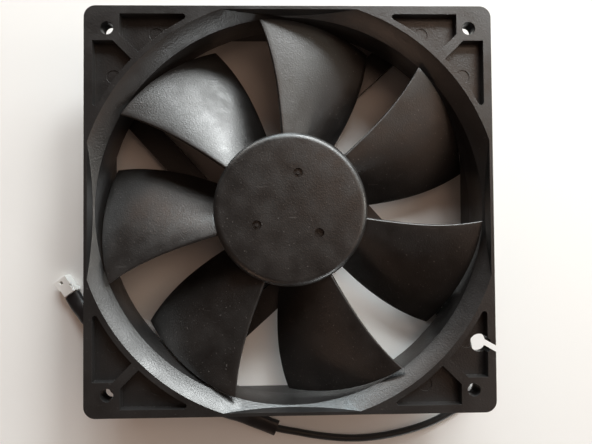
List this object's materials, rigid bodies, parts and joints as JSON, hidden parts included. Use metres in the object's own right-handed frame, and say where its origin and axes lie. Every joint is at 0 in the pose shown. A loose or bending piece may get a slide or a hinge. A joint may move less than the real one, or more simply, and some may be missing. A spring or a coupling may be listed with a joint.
{
  "type": "case fan",
  "caption": "Square axial fan: moulded frame with open duct and struts, bladed rotor on ball bearings, short lead in a shrink sleeve with a small connector.",
  "frame": {"origin": "centre of the exhaust face, on the rotor axis; the fan lies on this face", "axes": "+Z along the rotor axis from the exhaust face to the intake face; +X and +Y along the sides of the square frame, with the cable notch near the corner at +X -Y"},
  "size_m": [0.1653, 0.1606, 0.025],
  "materials": {
    "frame_plastic": "satin moulded, fine grain",
    "rotor_plastic": "satin moulded, dusty",
    "brass": "turned",
    "core_steel": "stacked sheet",
    "insulator": "moulded nylon",
    "copper_wire": "enamelled copper winding",
    "tinned": "tinned",
    "board": "solder resist",
    "chip_black": "epoxy package",
    "ceramic": "ceramic",
    "label": "blank satin foil",
    "wire_black": "soft PVC jacket",
    "wire_red": "PVC insulation",
    "bearing_steel": "ground and polished",
    "cage_brass": "pressed",
    "shaft_steel": "ground",
    "yoke_steel": "zinc plated",
    "magnet": "bonded ferrite",
    "spring_steel": "drawn wire",
    "sleeve_black": "shrink tube, slight gloss",
    "nylon_white": "natural nylon"
  },
  "bodies": {
    "frame": {"fan_frame": "frame_plastic", "bearing_tube": "brass", "stator_core": "core_steel", "upper_insulator": "insulator", "lower_insulator": "insulator", "stator_coils": "copper_wire", "winding_pins": "tinned", "circuit_board": "board", "hall_sensor": "chip_black", "driver_chip": "chip_black", "filter_capacitor": "ceramic", "polarity_diode": "chip_black", "rear_label": "label", "lead_conductors": "wire_red", "lead_in_channel": "wire_black", "front_outer_race": "bearing_steel", "front_shields": "bearing_steel", "rear_outer_race": "bearing_steel", "rear_shields": "bearing_steel", "lead_cable": "wire_black", "heat_shrink_sleeve": "sleeve_black", "connector_housing": "nylon_white", "connector_contacts": "tinned"},
    "rotor": {"impeller": "rotor_plastic", "rotor_yoke": "yoke_steel", "ring_magnet": "magnet", "rotor_boss": "brass", "shaft": "shaft_steel", "front_inner_race": "bearing_steel", "rear_inner_race": "bearing_steel", "preload_spring": "spring_steel", "thrust_washer": "brass", "retaining_clip": "spring_steel"},
    "front_ball_set": {"front_balls": "bearing_steel", "front_cage": "cage_brass"},
    "rear_ball_set": {"rear_balls": "bearing_steel", "rear_cage": "cage_brass"}
  },
  "joints": [
    {"name": "rotor_spin", "type": "hinge", "parent": "frame", "child": "rotor", "pos_m": [0, 0, 0.0125], "axis": [0, 0, 1], "continuous": true},
    {"name": "front_balls_roll", "type": "hinge", "parent": "frame", "child": "front_ball_set", "pos_m": [0, 0, 0.0154], "axis": [0, 0, 1], "continuous": true},
    {"name": "rear_balls_roll", "type": "hinge", "parent": "frame", "child": "rear_ball_set", "pos_m": [0, 0, 0.005], "axis": [0, 0, 1], "continuous": true}
  ],
  "couplings": [
    {"joint": "front_balls_roll", "follows": "rotor_spin", "ratio": 0.3564},
    {"joint": "rear_balls_roll", "follows": "rotor_spin", "ratio": 0.3564}
  ]
}
